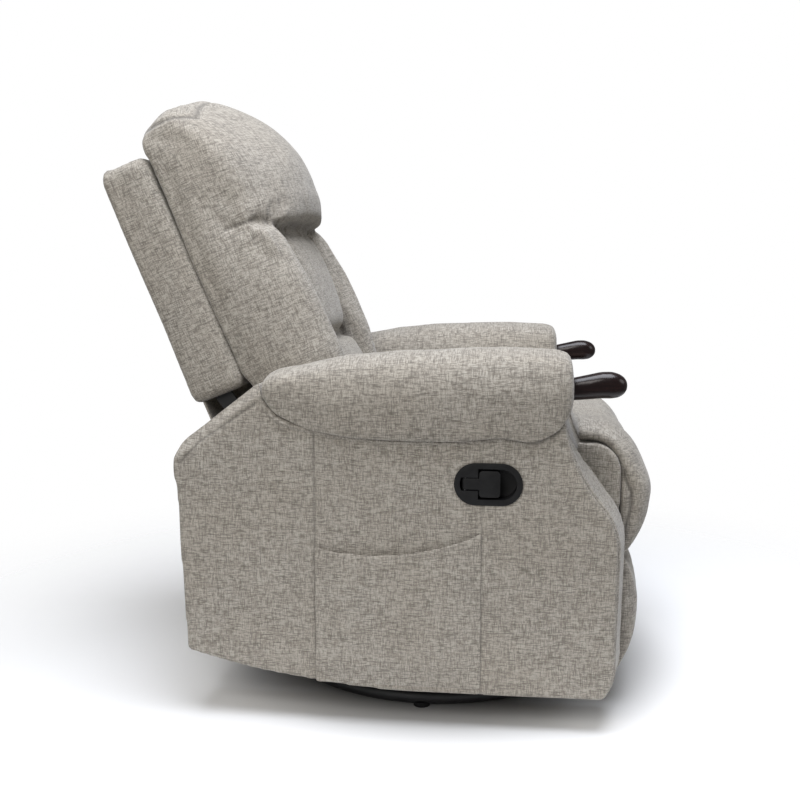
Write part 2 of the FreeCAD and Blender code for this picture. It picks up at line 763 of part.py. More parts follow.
# the fascia's lower edge also stays clear of the footrest's brackets
FASCIA_LOW = f"max(roll_bottom + fascia_lift; {ANKLE_Z} + bar_half_width + fascia_clear)"
node("seat_fascia", box((f"-{RAIL_FACE}", RAIL_FACE), ("-seat_front", "-seat_front + seat_rail_thick"),
                        (FASCIA_LOW, RAIL_HIGH)))
strap_places = [f"{place} * {PLATE_IN} / 3" for place in (-2, -1, 0, 1, 2)]
strap_spans = [(f"{x} - web_width / 2", f"{x} + web_width / 2") for x in strap_places]
straps = [box(span, ("-seat_front", "seat_rear"), (RAIL_HIGH, "seat_deck")) for span in strap_spans]
node("seat_webbing", group(*straps))


def seat_box_form():
    """Firm front of the seat, rounded where the roll goes over it."""
    names = ("seat_front", "roll_start", "roll_under", "seat_deck")
    front, start, under, deck = (size(name) for name in names)
    half = size("cushion_half")
    top = under - size("seam_gap")
    nose = ((front - 12, top - 15), (front, top - 51))
    outline = [(front - 40, top), nose, (front, deck), (start, deck)]
    return slab_between((start, top), outline, -half, half)


def seat_roll_form():
    """Soft roll over the seat's front edge: crowned in the middle, drawn in at both ends."""
    start, under, thick = size("roll_start"), size("roll_under"), size("roll_thick")
    inner, bottom, half = size("seat_front") + size("seam_gap"), size("roll_bottom"), size("cushion_half")
    # station across the chair, share of the crown, draw-in of the skin
    stations = [(-half, 0, 9), (13 - half, 0.1, 0), (-0.5 * half, 0.8, 0), (0, 1, 0)]
    stations += [(-x, crown, tuck) for x, crown, tuck in reversed(stations[:-1])]
    wires = []
    for x, share, tuck in stations:
        crown = share * size("roll_crown") - tuck
        nose, drop = inner + thick + crown, size("roll_nose_drop")
        steps = [
            (inner - 40, under),
            ((inner - 12, under - 15), (inner, under - 53)),
            (inner, bottom + 8),
            (inner + 13 + 0.3 * crown, bottom),
            ((nose - 10, bottom + 54), (nose - 2, under - drop - 18)),
            ((nose, under - drop), (nose - 5, under - drop + 21)),
            ((inner + 12 + 0.9 * crown, under - 17 + 0.2 * crown), (inner - 16, under + 13 + crown)),
            ((start + 32, under + 24 + 0.7 * crown), (start, under + 27 + 0.6 * crown)),
        ]
        wires.append(trace((start, under), steps, side_view(x)))
    return loft(wires, ruled=False)


def seat_cushion_form():
    """Crowned seat pad behind the roll, lower towards the back."""
    half, deck, top = size("cushion_half"), size("seat_deck"), size("seat_top")
    front, rear, crown = -size("roll_start") + size("seam_gap"), size("seat_rear"), size("seat_crown")
    # station along the chair, drop of the top, draw-in of the sides, corner radius
    stations = [
        (front, 14, 6, 20),
        (front + 7, 5, 2, 26),
        (front + 20, 1, 0, 30),
        (0.6 * front, 0, 1, 34),
        (0, 3, 4, 34),
        (0.5 * rear, 14, 2, 34),
        (rear - 22, 30, 2, 30),
        (rear - 8, 38, 5, 26),
        (rear, 48, 12, 24),
    ]
    wires = []
    for y, drop, tuck, corner in stations:
        shape = soft_outline((tuck - half, half - tuck), (deck, top - drop), corner, (0, 0, crown, 0))
        wires.append(trace(*shape, cross_view(y)))
    return loft(wires)


node("seat_box", shaped(seat_box_form()))
node("seat_front_roll", shaped(seat_roll_form()))
node("seat_cushion", shaped(seat_cushion_form()))

# leaning back, modelled in its own frame: forward of the back and up the back


def hinge_on_back():
    """The recline hinge seen from the back's own frame."""
    lean = math.radians(size("back_tilt"))
    away = size("hinge_rear") - size("back_foot_rear")
    up = size("hinge_height") - size("seat_top") - size("back_foot_lift")
    return (up * math.sin(lean) - away * math.cos(lean), away * math.sin(lean) + up * math.cos(lean))


def bracket_form():
    """Steel arm from the hinge pin up to the foot of a back post."""
    ahead, low = hinge_on_back()
    eye, half, hold = size("hinge_eye"), size("post_deep") / 2, size("bracket_hold")
    inner = size("arm_inner") - size("cleat_thick") - size("flange_width") + 3 * size("lane_gap")
    steps = [((ahead, low - eye), (ahead - eye, low)), (-half, 0), (-half, hold), (half, hold), (half, 0)]
    plate = slab_between((ahead + eye, low), steps, inner, inner + size("bar_thick"))
    bore = Part.makeCylinder(size("hinge_radius") + size("run_fit"), size("bar_thick"),
                             Vector(inner, -ahead, low), Vector(1, 0, 0))
    return plate.cut(bore)


def slab_form():
    """Padded outer back, thinner towards the top."""
    half, tall = size("cushion_half"), size("slab_height")
    low, high, turn = size("slab_low_half"), size("slab_top_half"), size("slab_round")
    # station up the back, half thickness, draw-in of the sides
    stations = [(0, low - 0.4 * turn, 0.4 * turn), (turn / 3, low - 2, 2), (turn, low, 0),
                (tall - turn, high, 0), (tall - 0.4 * turn, high - 3, 3),
                (tall, high - 0.6 * turn, 0.6 * turn)]
    wires = []
    for height, thick, tuck in stations:
        shape = soft_outline((tuck - half, half - tuck), (-thick, thick), size("slab_corner"), (0, 2, 0, 2))
        wires.append(trace(*shape, back_slice(height)))
    return loft(wires)


def slab_face(height):
    """How far the padded back's front stands forward, a seam clear of it, at a height up the back."""
    low, high, tall = size("slab_low_half"), size("slab_top_half"), size("slab_height")
    share = (height - size("slab_round")) / (tall - 2 * size("slab_round"))
    return low + (high - low) * max(0, share) + size("seam_gap")


def headrest_form():
    """Full pillow over the top of the back, deepest in the middle."""
    half, rear = size("cushion_half"), slab_face(size("head_low"))
    low, top, drop = size("head_low"), size("head_top"), size("head_side_drop")
    front, side_front, side_lip = size("head_front"), size("head_side_front"), size("head_side_lip")
    wires = []
    for place in (-1, -0.95, -0.66, -0.3, 0, 0.3, 0.66, 0.95, 1):
        share = 1 - place * place
        tuck = 9 if abs(place) == 1 else 0
        crest = (95 + 29 * share, top - drop * (1 - share) - tuck)
        nose = (side_front + (front - side_front) * share - tuck, low + size("head_nose_rise"))
        lip = side_lip + (size("head_lip") - side_lip) * share
        brow = (crest[0] + 0.72 * (nose[0] - crest[0]), nose[1] + 0.65 * (crest[1] - nose[1]))
        steps = [
            (rear, top - 97),
            ((rear + 14, crest[1] - 22), crest),
            (brow, nose),
            ((nose[0] - 0.15 * lip, low + 0.58 * lip), (nose[0] - lip, low)),
        ]
        wires.append(trace((rear, low), steps, back_side(place * half)))
    return loft(wires, ruled=False)


def bolster_form():
    """Upright side roll on the sitter's left."""
    inner, outer, front = size("bolster_inner"), size("cushion_half"), size("bolster_front")
    low, high = -size("cushion_low"), size("head_low") - size("seam_gap")
    # station up the back, drop of the front, draw-in, push of the rear face, corner radius
    stations = [
        (low, 34, 12, 12, 22),
        (low + 7, 20, 6, 10, 28),
        (low + 22, 8, 2, 9, 36),
        (0.5 * low, 2, 0, 8, 40),
        (-2, 0, 0, 8, 42),
        (size("slab_round"), 0, 0, 0, 42),
        (0.3 * high, 4, 0, 0, 42),
        (0.62 * high, 12, 0, 0, 42),
        (high - 26, 20, 0, 0, 40),
        (high - 8, 25, 0, 0, 38),
        (high, 30, 1, 0, 36),
    ]
    wires = []
    for height, drop, tuck, push, corner in stations:
        span = (slab_face(height) + push, front - drop)
        across = (inner + tuck, outer - tuck)
        shape = soft_outline(across, span, corner, (0, 2, 4, 0), size("bolster_rear_corner"))
        wires.append(trace(*shape, back_slice(height)))
    return loft(wires)


def lumbar_form(low, high, front):
    """One biscuit of the middle back: crowned, with its edges sewn down."""
    half, deepest = size("bolster_inner") - size("soft_gap"), 40
    rear = slab_face(low + deepest) + (8 if low < 0 else 0)
    # station across the back, drop of the front, draw-in, corner radius
    stations = [(-1, 32, 10, 24), (-0.96, 20, 5, 30), (-0.88, 11, 2, 34), (-0.7, 5, 0, 38),
                (-0.4, 1, 0, deepest), (0, 0, 0, deepest)]
    stations += [(-place, *rest) for place, *rest in reversed(stations[:-1])]
    wires = []
    for place, drop, tuck, corner in stations:
        shape = soft_outline((rear, front - drop), (low + tuck, high - tuck), corner, (0, 5, 0, 0))
        wires.append(trace(*shape, back_side(place * half)))
    return loft(wires)


POST_OUT = BACK_IN
POST_IN = f"({BACK_IN} - post_wide)"
deep = ("-post_deep / 2", "post_deep / 2")
post = box((POST_IN, POST_OUT), deep, ("steel", "slab_height - 4 * steel"))
rail_spots = ("0.02 * slab_height", "0.42 * slab_height", "0.8 * slab_height")
cross_rails = [box((f"-{POST_IN}", POST_IN), deep, (spot, f"{spot} + back_rail_tall")) for spot in rail_spots]
back_arm = shaped(bracket_form())
posts = pair(post)
rails = group(*cross_rails)
arms_of_back = pair(back_arm)
node("back_posts", on_back(group(posts)))
node("back_rails", on_back(group(rails)))
node("back_brackets", on_back(group(arms_of_back)))
node("outer_back_panel", on_back(group(cut(shaped(slab_form()), posts, rails, arms_of_back))))
node("headrest_pillow", on_back(shaped(headrest_form())))
bolster = shaped(bolster_form())
node("back_bolster_left", on_back(group(bolster)))
node("back_bolster_right", on_back(group(mirror(bolster))))
split, gap = size("lumbar_split"), size("seam_gap")
upper = lumbar_form(split, size("head_low") - gap, size("lumbar_front"))
node("lumbar_pad_upper", on_back(shaped(upper)))
lower = lumbar_form(-size("cushion_low"), split - gap, size("lumbar_front") + 4)
node("lumbar_pad_lower", on_back(shaped(lower)))
skirt_x = "(cushion_half - slab_corner)"
skirt_y = "(slab_low_half - skirt_inset)"
skirt = box((f"-{skirt_x}", skirt_x), (skirt_y, f"{skirt_y} + web_thick"), ("-skirt_drop", "0"))
node("back_skirt", on_back(group(skirt)))

# footrest on its folding links


def link_bar(lane, foot, turn, near_play, far_play):
    """Flat round-ended bar with a hole at each end, from a pivot along its turn."""
    body = doc.addObject("PartDesign::Body", "link")
    plane = next(item for item in body.Origin.OriginFeatures if item.Role == "YZ_Plane")
    sketch = body.newObject("Sketcher::SketchObject", "bar_outline")
    sketch.AttachmentSupport = [(plane, "")]
    sketch.MapMode = "FlatFace"
    half, reach, hole = size("bar_half_width"), size("link_length"), size("pin_radius")
    flat = Vector(0, 0, 1)
    near, far = Vector(0, 0, 0), Vector(reach, 0, 0)
    right_angle = math.pi / 2
    sketch.addGeometry(Part.ArcOfCircle(Part.Circle(near, flat, half), right_angle, 3 * right_angle))
    sketch.addGeometry(Part.ArcOfCircle(Part.Circle(far, flat, half), -right_angle, right_angle))
    sketch.addGeometry(Part.LineSegment(Vector(0, -half, 0), Vector(reach, -half, 0)))
    sketch.addGeometry(Part.LineSegment(Vector(reach, half, 0), Vector(0, half, 0)))
    sketch.addGeometry(Part.Circle(near, flat, hole))
    sketch.addGeometry(Part.Circle(far, flat, hole))
    start, end, middle, origin, x_axis = 1, 2, 3, -1, -1
    for first, first_point, second, second_point in ((0, end, 2, start), (2, end, 1, start),
                                                     (1, end, 3, start), (3, end, 0, start)):
        sketch.addConstraint(Sketcher.Constraint("Tangent", first, first_point, second, second_point))
    sketch.addConstraint(Sketcher.Constraint("Coincident", 0, middle, origin, start))
    sketch.addConstraint(Sketcher.Constraint("PointOnObject", 1, middle, x_axis))
    sketch.addConstraint(Sketcher.Constraint("Coincident", 4, middle, 0, middle))
    sketch.addConstraint(Sketcher.Constraint("Coincident", 5, middle, 1, middle))
    driven = {
        "reach": (("DistanceX", 0, middle, 1, middle, reach), "link_length"),
        "half_width": (("Radius", 0, half), "bar_half_width"),
        "near_hole": (("Radius", 4, hole), f"pin_radius + {near_play}"),
        "far_hole": (("Radius", 5, hole), f"pin_radius + {far_play}"),
    }
    for name, (constraint, formula) in driven.items():
        index = sketch.addConstraint(Sketcher.Constraint(*constraint))
        sketch.renameConstraint(index, name)
        bind(sketch, {f"Constraints.{name}": formula})
    pad = body.newObject("PartDesign::Pad", "bar")
    pad.Profile = sketch
    bind(pad, {"Length": "bar_thick"})
    body.Placement = FreeCAD.Placement(Vector(), FreeCAD.Rotation(Vector(1, 0, 0), size(turn)))
    bind(body, {"Placement.Base.x": lane, "Placement.Base.y": foot[0], "Placement.Base.z": foot[1]})
    return bind(body, {"Placement.Rotation.Angle": turn})


KNEE = (KNEE_Y, KNEE_Z)
ANKLE = (ANKLE_Y, ANKLE_Z)
node("footrest_lower_links", pair(link_bar(LOWER_IN, LEG, "lower_link_deg", "run_fit", "0")))
node("footrest_knee_pins", pair(rod("X", KNEE, "pin_radius", f"{UPPER_IN} - lane_gap / 2", LOWER_OUT)))
node("footrest_upper_links", pair(link_bar(UPPER_IN, KNEE, "upper_link_deg", "run_fit", "run_fit")))
ankle_pin = rod("X", ANKLE, "pin_radius", BRACKET_IN, f"{UPPER_OUT} + lane_gap / 2")
ankle_pins = node("footrest_pins", pair(ankle_pin))
bracket_x = (BRACKET_IN, BRACKET_OUT)
eye = rod("X", ANKLE, "bar_half_width", *bracket_x)
bracket_low = f"{ANKLE_Z} - 4 * bar_half_width"
web = box(bracket_x, ("-board_back", ANKLE_Y), (bracket_low, f"{ANKLE_Z} - bar_half_width"))
neck = box(bracket_x, (f"{ANKLE_Y} - bar_half_width", f"{ANKLE_Y}"), (bracket_low, ANKLE_Z))
node("footrest_brackets", cut(pair(fuse(eye, web, neck)), ankle_pins))
board_x = "(cushion_half - bar_half_width)"
node("footrest_board", box((f"-{board_x}", board_x), ("-board_back - board_thick", "-board_back"),
                           ("board_low", "board_high")))


def footrest_form():
    """Footrest cushion: fuller in the middle, thinning towards its lower edge."""
    back, front = size("board_back") + size("board_thick"), size("footrest_front")
    low, high, half = size("footrest_low"), size("footrest_high"), size("cushion_half")
    brow, full, edge = size("footrest_brow"), size("footrest_full"), size("footrest_edge")
    # station across the chair, crown, draw-in
    stations = [(-1, -9, 8), (-0.985, -3, 3), (-0.95, 0, 0), (-0.7, 0.5, 0), (-0.35, 0.9, 0), (0, 1, 0)]
    stations += [(-place, *rest) for place, *rest in reversed(stations[:-1])]
    wires = []
    for place, share, tuck in stations:
        crown = share * size("footrest_crown") if share > 0 else share
        steps = [
            (back, high - tuck),
            (front - brow, high - tuck),
            ((front + crown - 0.5 * edge, high - 0.44 * full), (front + crown, high - full)),
            ((front + crown - edge, low + 0.59 * full), (back + edge, low + tuck)),
        ]
        wires.append(trace((back, low + tuck), steps, side_view(place * half)))
    return loft(wires)


node("footrest_pad", shaped(footrest_form()))

# check and write


def check(thing):
    if {"Invalid", "Error"} & set(thing.State):
        raise SystemExit(f"{thing.Label} failed: {thing.State}")


doc.recompute()
for thing in doc.Objects:
    check(thing)
for piece in NODES:
    if piece.Shape.isNull() or not piece.Shape.isValid() or not piece.Shape.Solids:
        raise SystemExit(f"{piece.Label} has no sound solid")
os.makedirs("parts", exist_ok=True)
for piece in NODES:
    piece.Shape.exportStep(f"parts/{piece.Label}.step")
    print(piece.Label, len(piece.Shape.Solids), round(piece.Shape.Volume))
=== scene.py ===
"""Looks of the swivel rocker recliner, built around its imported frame."""
import json
import math

import bmesh
import bpy
import numpy as np
from mathutils import Matrix, Vector, noise


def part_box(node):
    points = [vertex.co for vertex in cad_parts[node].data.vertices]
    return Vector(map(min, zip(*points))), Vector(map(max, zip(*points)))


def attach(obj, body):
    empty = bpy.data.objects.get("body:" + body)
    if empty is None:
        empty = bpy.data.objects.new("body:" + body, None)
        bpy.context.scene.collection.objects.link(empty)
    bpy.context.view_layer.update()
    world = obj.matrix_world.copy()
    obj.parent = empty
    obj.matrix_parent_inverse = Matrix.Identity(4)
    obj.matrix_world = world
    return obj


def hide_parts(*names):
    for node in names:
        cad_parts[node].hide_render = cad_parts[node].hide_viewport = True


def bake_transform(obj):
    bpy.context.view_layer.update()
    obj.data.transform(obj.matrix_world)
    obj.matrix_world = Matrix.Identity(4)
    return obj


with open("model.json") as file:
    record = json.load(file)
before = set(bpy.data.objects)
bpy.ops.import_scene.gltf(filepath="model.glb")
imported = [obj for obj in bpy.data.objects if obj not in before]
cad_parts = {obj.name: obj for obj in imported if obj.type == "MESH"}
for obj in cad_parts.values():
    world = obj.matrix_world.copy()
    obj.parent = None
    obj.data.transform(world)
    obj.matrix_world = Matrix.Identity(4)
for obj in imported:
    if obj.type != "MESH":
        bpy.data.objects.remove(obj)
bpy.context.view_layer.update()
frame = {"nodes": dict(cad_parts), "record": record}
scene = bpy.context.scene
mm = 0.001

# the back leans about its foot: its own axes are across, up the back and forward of it
BACK_TILT = math.radians(22)
BACK_FOOT = np.array((0, 353, 522)) * mm
UP_THE_BACK = np.array((0, math.sin(BACK_TILT), math.cos(BACK_TILT)))
OUT_OF_BACK = np.array((0, -math.cos(BACK_TILT), math.sin(BACK_TILT)))


class Wire:
    """A socket of one finish's nodes: arithmetic on it adds Math nodes."""

    def __init__(self, tree, socket=None):
        self.tree = tree
        self.socket = socket

    def add(self, kind, settings=None, values=None, out=0):
        """Any other node: its type, its settings, then what its sockets take."""
        node = self.tree.nodes.new("ShaderNode" + kind)
        for name, value in (settings or {}).items():
            setattr(node, name, value)
        for name, value in (values or {}).items():
            if isinstance(value, Wire):
                self.tree.links.new(value.socket, node.inputs[name])
            else:
                node.inputs[name].default_value = value
        return Wire(self.tree, node.outputs[out])

    def math(self, operation, first, second):
        return self.add("Math", {"operation": operation}, {0: first, 1: second})

    def __add__(self, other):
        return self.math("ADD", self, other)

    def __sub__(self, other):
        return self.math("SUBTRACT", self, other)

    def __rsub__(self, other):
        return self.math("SUBTRACT", other, self)

    def __mul__(self, other):
        return self.math("MULTIPLY", self, other)

    __radd__ = __add__
    __rmul__ = __mul__

    def step(self, low, high):
        """Soft step from 0 at low to 1 at high."""
        limits = {"Value": self, "From Min": low, "From Max": high}
        return self.add("MapRange", {"interpolation_type": "SMOOTHSTEP"}, limits)

    def mix(self, dull, bright):
        """Colour between two others, with this as the share of the second."""
        colours = {0: self, 6: dull, 7: bright}
        return self.add("Mix", {"data_type": "RGBA"}, colours, out=2)


def rgb(red, green, blue):
    return (red, green, blue, 1)


def new_finish(name, roughness, **constants):
    """Material with its fixed values set; returns it with a wire to start from and its shader."""
    material = bpy.data.materials.new(name)
    material.use_nodes = True
    tree = material.node_tree
    shader = tree.nodes["Principled BSDF"]
    shader.inputs["Roughness"].default_value = roughness
    for socket, value in constants.items():
        shader.inputs[socket.replace("_", " ")].default_value = value
    return material, Wire(tree), shader


def plug(wire, shader, socket):
    wire.tree.links.new(wire.socket, shader.inputs[socket])


def raise_bumps(height, shader, distance, strength=1):
    relief = {"Height": height, "Distance": distance, "Strength": strength}
    plug(height.add("Bump", None, relief, out="Normal"), shader, "Normal")


def mottle(start, detail, scale=1, stretch=(1, 1, 1)):
    """Noise on the piece's own coordinates, finer along the axes that are stretched more."""
    place = start.add("TexCoord", out="Object")
    spread = start.add("Mapping", None, {"Vector": place, "Scale": stretch})
    return start.add("TexNoise", None, {"Vector": spread, "Scale": scale, "Detail": detail}, out="Fac")


def woven_cloth():
    """Warm grey linen weave with short dark slubs both ways."""
    material, start, shader = new_finish("woven_cloth", 0.92, Sheen_Weight=0.25, Sheen_Roughness=0.5)
    place = start.add("UVMap", {"uv_map": "weave"}, out="UV")
    along = start.add("SeparateXYZ", None, {0: place}, out="X")
    up = start.add("SeparateXYZ", None, {0: place}, out="Y")

    def threads(per_metre_along, per_metre_up, layer, detail=1):
        spot = {"X": along * per_metre_along, "Y": up * per_metre_up, "Z": layer}
        where = start.add("CombineXYZ", None, spot)
        return start.add("TexNoise", None, {"Vector": where, "Scale": 1, "Detail": detail}, out="Fac")

    weft = threads(105, 640, 11.5)
    warp = threads(640, 105, 15.5)
    grain = threads(900, 900, 23.5)
    cluster = threads(40, 46, 3.5, 2) - 0.5
    weft_slubs = (threads(80, 640, 1.5) + cluster * 0.1).step(0.52, 0.66)
    warp_slubs = (threads(640, 80, 7.5) + cluster * 0.1).step(0.53, 0.67)
    cloud = threads(7, 7, 19.5, 2)
    light = cloud.step(0.3, 0.7).mix(rgb(0.362, 0.332, 0.284), rgb(0.385, 0.359, 0.315))
    yarn = (weft + warp + grain * 0.6).step(0.95, 1.55).mix(rgb(0.195, 0.172, 0.145), light)
    slubbed = (weft_slubs * 0.5).mix(yarn, rgb(0.085, 0.075, 0.063))
    slubbed = (warp_slubs * 0.42).mix(slubbed, rgb(0.095, 0.084, 0.071))
    # painted shade: the 'seam' attribute darkens the cloth in seam folds and creases
    seam = start.add("Attribute", {"attribute_name": "seam"}, out="Fac")
    plug((seam * 0.75).mix(slubbed, rgb(0.07, 0.063, 0.055)), shader, "Base Color")
    raise_bumps(weft + warp + grain * 0.6, shader, 0.7 * mm, 0.5)
    return material


def polished_wood():
    """Near-black red-brown varnish over a faint grain."""
    gloss = {"Specular_IOR_Level": 0.3, "Coat_Weight": 0.2, "Coat_Roughness": 0.2}
    material, start, shader = new_finish("polished_wood", 0.16, **gloss)
    grain = mottle(start, 4, stretch=(260, 16, 260))
    stain = grain.step(0.35, 0.7).mix(rgb(0.006, 0.002, 0.002), rgb(0.012, 0.004, 0.0035))
    plug(stain, shader, "Base Color")
    plug(grain * 0.08 + 0.22, shader, "Roughness")
    return material


def frame_wood():
    """Sawn pale timber."""
    material, start, shader = new_finish("frame_wood", 0.7)
    grain = mottle(start, 5, stretch=(14, 140, 140))
    plug(grain.step(0.3, 0.7).mix(rgb(0.36, 0.23, 0.12), rgb(0.56, 0.40, 0.24)), shader, "Base Color")
    raise_bumps(grain, shader, 0.4 * mm, 0.4)
    return material


def black_plastic():
    """Fine moulded grain, matte."""
    material, start, shader = new_finish("black_plastic", 0.42, Specular_IOR_Level=0.3)
    grain = mottle(start, 2, scale=1800)
    wear = mottle(start, 3, scale=60)
    black = wear.step(0.3, 0.75).mix(rgb(0.005, 0.005, 0.0053), rgb(0.009, 0.009, 0.0095))
    plug(black, shader, "Base Color")
    plug(grain * 0.2 + 0.36, shader, "Roughness")
    raise_bumps(grain, shader, 0.12 * mm, 0.4)
    return material


def elastic_web():
    """Black webbing with ribs across it."""
    material, start, shader = new_finish("elastic_web", 0.85)
    place = start.add("TexCoord", out="Object")
    bands = {"Vector": place, "Scale": 160, "Distortion": 0.4}
    ribs = start.add("TexWave", {"bands_direction": "Y"}, bands, out="Fac")
    plug(ribs.mix(rgb(0.02, 0.02, 0.022), rgb(0.07, 0.07, 0.075)), shader, "Base Color")
    raise_bumps(ribs, shader, 0.5 * mm, 0.6)
    return material


def painted_steel():
    """Black powder coat with a little orange peel."""
    material, start, shader = new_finish("black_steel", 0.45)
    peel = mottle(start, 2, scale=700)
    dust = mottle(start, 4, scale=22)
    plug(dust.step(0.4, 0.8).mix(rgb(0.011, 0.011, 0.012), rgb(0.024, 0.024, 0.025)), shader, "Base Color")
    plug(dust * 0.25 + 0.32, shader, "Roughness")
    raise_bumps(peel, shader, 0.15 * mm, 0.35)
    return material


def bright_steel():
    """Zinc-plated steel with drawn streaks."""
    material, start, shader = new_finish("bright_steel", 0.35, Metallic=1)
    streaks = mottle(start, 3, stretch=(20, 400, 400))
    plug(streaks.mix(rgb(0.42, 0.42, 0.43), rgb(0.62, 0.62, 0.64)), shader, "Base Color")
    plug(streaks * 0.3 + 0.22, shader, "Roughness")
    return material


FINISHES = {
    "woven_cloth": woven_cloth(),
    "polished_wood": polished_wood(),
    "frame_wood": frame_wood(),
    "black_plastic": black_plastic(),
    "elastic_web": elastic_web(),
    "black_steel": painted_steel(),
    "bright_steel": bright_steel(),
}


# mesh helpers


def settle(piece):
    """Makes the result of the modifiers the piece's own mesh."""
    graph = bpy.context.evaluated_depsgraph_get()
    graph.update()
    worn = piece.data
    result = bpy.data.meshes.new_from_object(piece.evaluated_get(graph))
    piece.modifiers.clear()
    piece.data = result
    bpy.data.meshes.remove(worn)
    return piece


def new_piece(name, shape):
    """Object at the origin with the shape's faces."""
    piece = bpy.data.objects.new(name, bpy.data.meshes.new(name))
    shape.to_mesh(piece.data)
    shape.free()
    scene.collection.objects.link(piece)
    return piece


def cad_copy(name, *nodes):
    """New piece from merged copies of the frame's solids."""
    shape = bmesh.new()
    for node in nodes:
        shape.from_mesh(frame["nodes"][node].data)
    bmesh.ops.remove_doubles(shape, verts=shape.verts, dist=0.01 * mm)
    return new_piece(name, shape)


def rows_of(elements, kind):
    """One vector of each point or face, in rows."""
    flat = np.empty(len(elements) * 3)
    elements.foreach_get(kind, flat)
    return flat.reshape(-1, 3)


def points(piece):
    return rows_of(piece.data.vertices, "co")


def normals(piece):
    return rows_of(piece.data.vertices, "normal")


def move_to(piece, places):
    piece.data.vertices.foreach_set("co", places.ravel())
    piece.data.update()


def push(piece, amounts):
    """Moves each point along its normal."""
    move_to(piece, points(piece) + normals(piece) * np.reshape(amounts, (-1, 1)))


def remesh(piece, voxel):
    skin = piece.modifiers.new("skin", "REMESH")
    skin.mode = "VOXEL"
    skin.voxel_size = voxel
    return settle(piece)


def relax(piece, rounds):
    """Evens out the skin without shrinking it much."""
    shape = bmesh.new()
    shape.from_mesh(piece.data)
    for _ in range(rounds):
        bmesh.ops.smooth_vert(shape, verts=shape.verts, factor=0.5,
                              use_axis_x=True, use_axis_y=True, use_axis_z=True)
    shape.to_mesh(piece.data)
    shape.free()
    piece.data.update()


def refine(piece):
    finer = piece.modifiers.new("finer", "SUBSURF")
    finer.levels = finer.render_levels = 1
    return settle(piece)


MOMENTS = 20  # steps of each cloth simulation


def stuff(piece, held, pressure, cap):
    """Fills the cover: cloth under pressure, sewn down where held is 1, moved no further than cap."""
    before = points(piece)
    sewn = piece.vertex_groups.new(name="sewn")
    for index in np.flatnonzero(held > 0.05):
        sewn.add([int(index)], float(held[index]), "REPLACE")
    cover = piece.modifiers.new("cover", "CLOTH")
    cover.settings.quality = 5
    cover.settings.use_pressure = True
    cover.settings.uniform_pressure_force = pressure
    cover.settings.effector_weights.gravity = 0
    cover.settings.vertex_group_mass = "sewn"
    cover.point_cache.frame_end = MOMENTS
    for moment in range(1, MOMENTS + 1):
        scene.frame_set(moment)
    settle(piece)
    moved = points(piece) - before
    reach = np.linalg.norm(moved, axis=1, keepdims=True)
    move_to(piece, before + moved * np.minimum(1, cap / np.maximum(reach, 1e-9)))
    piece.vertex_groups.clear()
    scene.frame_set(1)


def chart_back(places):
    """Across, up and out of the leaning back, in columns."""
    away = places - BACK_FOOT
    return np.stack([places[:, 0], away @ UP_THE_BACK, away @ OUT_OF_BACK], axis=1)


def span_to(flat, path):
    """Distance of flat points from a line through the path's points."""
    nearest = np.full(len(flat), np.inf)
    for start, end in zip(path, path[1:]):
        start, end = np.array(start), np.array(end)
        leg = end - start
        share = np.clip((flat - start) @ leg / (leg @ leg), 0, 1)
        gaps = np.linalg.norm(flat - start - share[:, None] * leg, axis=1)
        nearest = np.minimum(nearest, gaps)
    return nearest


# painted shade along seam folds and creases, kept in the points' 'seam' attribute
def seam_shade_marks(piece):
    found = piece.data.attributes.get("seam")
    if found is None:
        found = piece.data.attributes.new("seam", "FLOAT", "POINT")
    marks = np.empty(len(piece.data.vertices))
    found.data.foreach_get("value", marks)
    return found, marks


def sew(piece, gaps, depth, width, dark=0.6, shade_width=None, share=1):
    """Pulls the cover in along a seam, given each point's distance from it, and paints shade into the
    fold.
    """
    push(piece, -depth * share * hump(gaps, width))
    found, marks = seam_shade_marks(piece)
    # painted shade: the fold is darkened in the cloth's colour, up to dark
    fold = dark * share * hump(gaps, shade_width or 0.45 * width)
    found.data.foreach_set("value", np.maximum(marks, fold))


def ruffle(piece, height, spacing, layer=0, stretch=(1, 1, 1), share=1):
    """Slow unevenness of hand-pulled cloth, in full where share is 1."""
    scale = np.array(stretch) / spacing
    waves = [noise.noise(Vector(place * scale) + Vector((0, 0, layer))) for place in points(piece)]
    push(piece, height * share * np.array(waves))


def ease(value, low, high):
    """Soft step from 0 at low to 1 at high, for arrays."""
    share = np.clip((value - low) / (high - low), 0, 1)
    return share * share * (3 - 2 * share)


def hump(value, width):
    """1 where the value is 0, fading out over the width, for arrays."""
    return np.exp(-((value / width) ** 2))


LOOK_SHIFT = 3.7  # metres of weave between faces that look different ways


def map_weave(piece, leaning=False, shift=(0, 0)):
    """Lays the weave on each face along the two axes that it faces least, in metres."""
    mesh = piece.data
    places = points(piece)
    faces = rows_of(mesh.polygons, "normal")
    if leaning:
        places = chart_back(places)
        faces = np.stack([faces[:, 0], faces @ UP_THE_BACK, faces @ OUT_OF_BACK], axis=1)
        sideways, level, upright = 0, 1, 2
    else:
        sideways, level, upright = 0, 2, 1
    facing = np.abs(faces)
    # for each way a face can look, the axis laid along the weave and the one laid up it
    axes = np.zeros((3, 2), int)
    axes[sideways] = (upright, level)
    axes[level] = (sideways, upright)
    axes[upright] = (sideways, level)
    totals = np.empty(len(mesh.polygons), int)
    mesh.polygons.foreach_get("loop_total", totals)
    corners = np.empty(len(mesh.loops), int)
    mesh.loops.foreach_get("vertex_index", corners)
    looks = np.repeat(facing.argmax(axis=1), totals)
    flat = np.stack([places[corners, axes[looks, 0]], places[corners, axes[looks, 1]]], axis=1)
    flat += np.array(shift) + LOOK_SHIFT * looks[:, None]
    weave = mesh.uv_layers.get("weave") or mesh.uv_layers.new(name="weave")
    weave.data.foreach_set("uv", flat.ravel())


